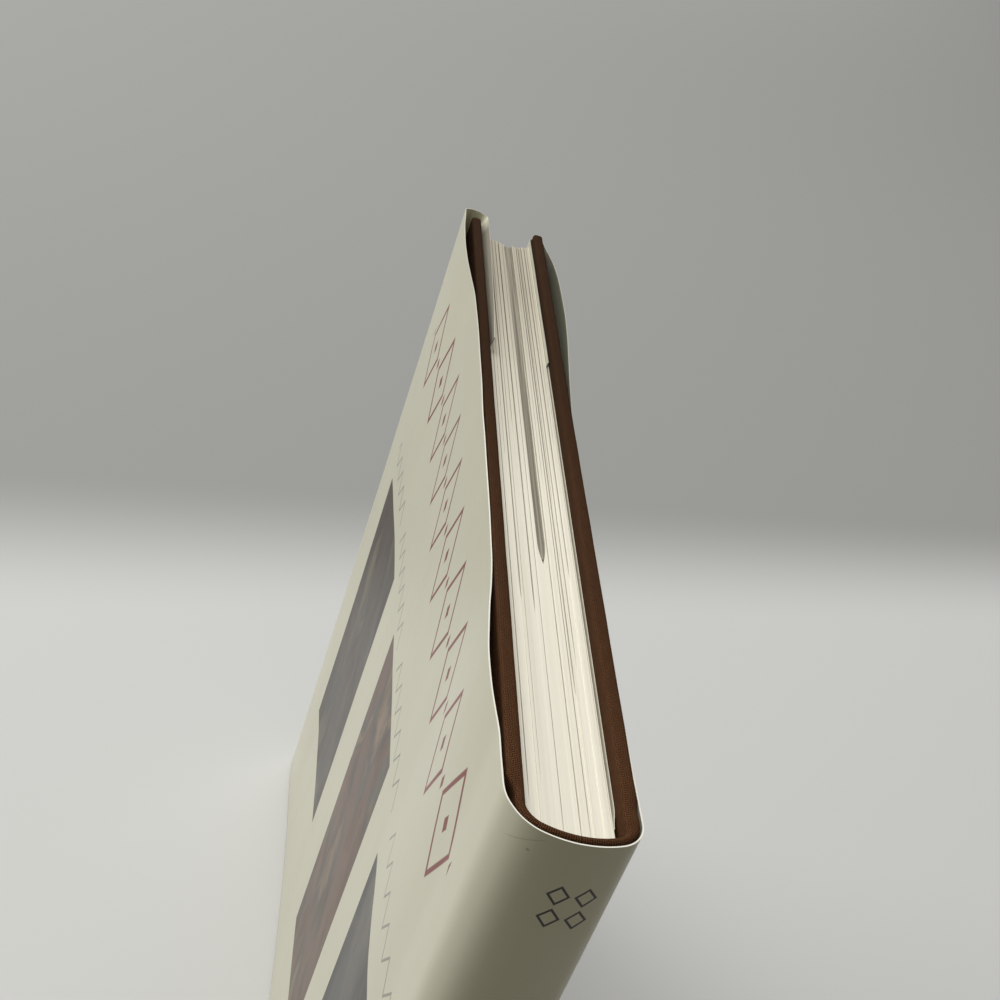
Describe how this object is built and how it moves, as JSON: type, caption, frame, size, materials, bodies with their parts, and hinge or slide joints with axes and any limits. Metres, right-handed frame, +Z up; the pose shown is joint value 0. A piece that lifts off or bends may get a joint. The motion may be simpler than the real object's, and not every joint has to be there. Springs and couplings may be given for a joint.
{
  "type": "hardback book",
  "caption": "Case-bound book in a glossy paper jacket, closed, standing on its head edge, with both covers hinged to open.",
  "frame": {"origin": "middle of the footprint, at the level of the head edge on which the book stands", "axes": "+Z up, from head to tail; +Y from the spine to the fore-edge; the front cover lies on -X and the rear cover on +X"},
  "size_m": [0.0274, 0.2464, 0.2206],
  "materials": {
    "leaves": "matte",
    "endpaper": "matte",
    "mull": "matte",
    "kraft": "matte",
    "board": "matte",
    "book_cloth": "matte",
    "jacket": "gloss"
  },
  "bodies": {
    "book_block": {"text_block": "leaves", "front_flyleaf": "endpaper", "rear_flyleaf": "endpaper", "spine_mull": "mull", "spine_lining": "kraft", "spine_card": "board", "spine_cloth": "book_cloth", "jacket_spine": "jacket"},
    "front_cover": {"front_board": "board", "front_cloth": "book_cloth", "front_pastedown": "endpaper", "front_jacket": "jacket"},
    "rear_cover": {"rear_board": "board", "rear_cloth": "book_cloth", "rear_pastedown": "endpaper", "rear_jacket": "jacket"}
  },
  "joints": [
    {"name": "front_cover_hinge", "type": "hinge", "parent": "book_block", "child": "front_cover", "pos_m": [-0.01135, -0.11194, 0], "axis": [0, 0, 1], "range_deg": [0, 180]},
    {"name": "rear_cover_hinge", "type": "hinge", "parent": "book_block", "child": "rear_cover", "pos_m": [0.01135, -0.11194, 0], "axis": [0, 0, -1], "range_deg": [0, 180]}
  ]
}
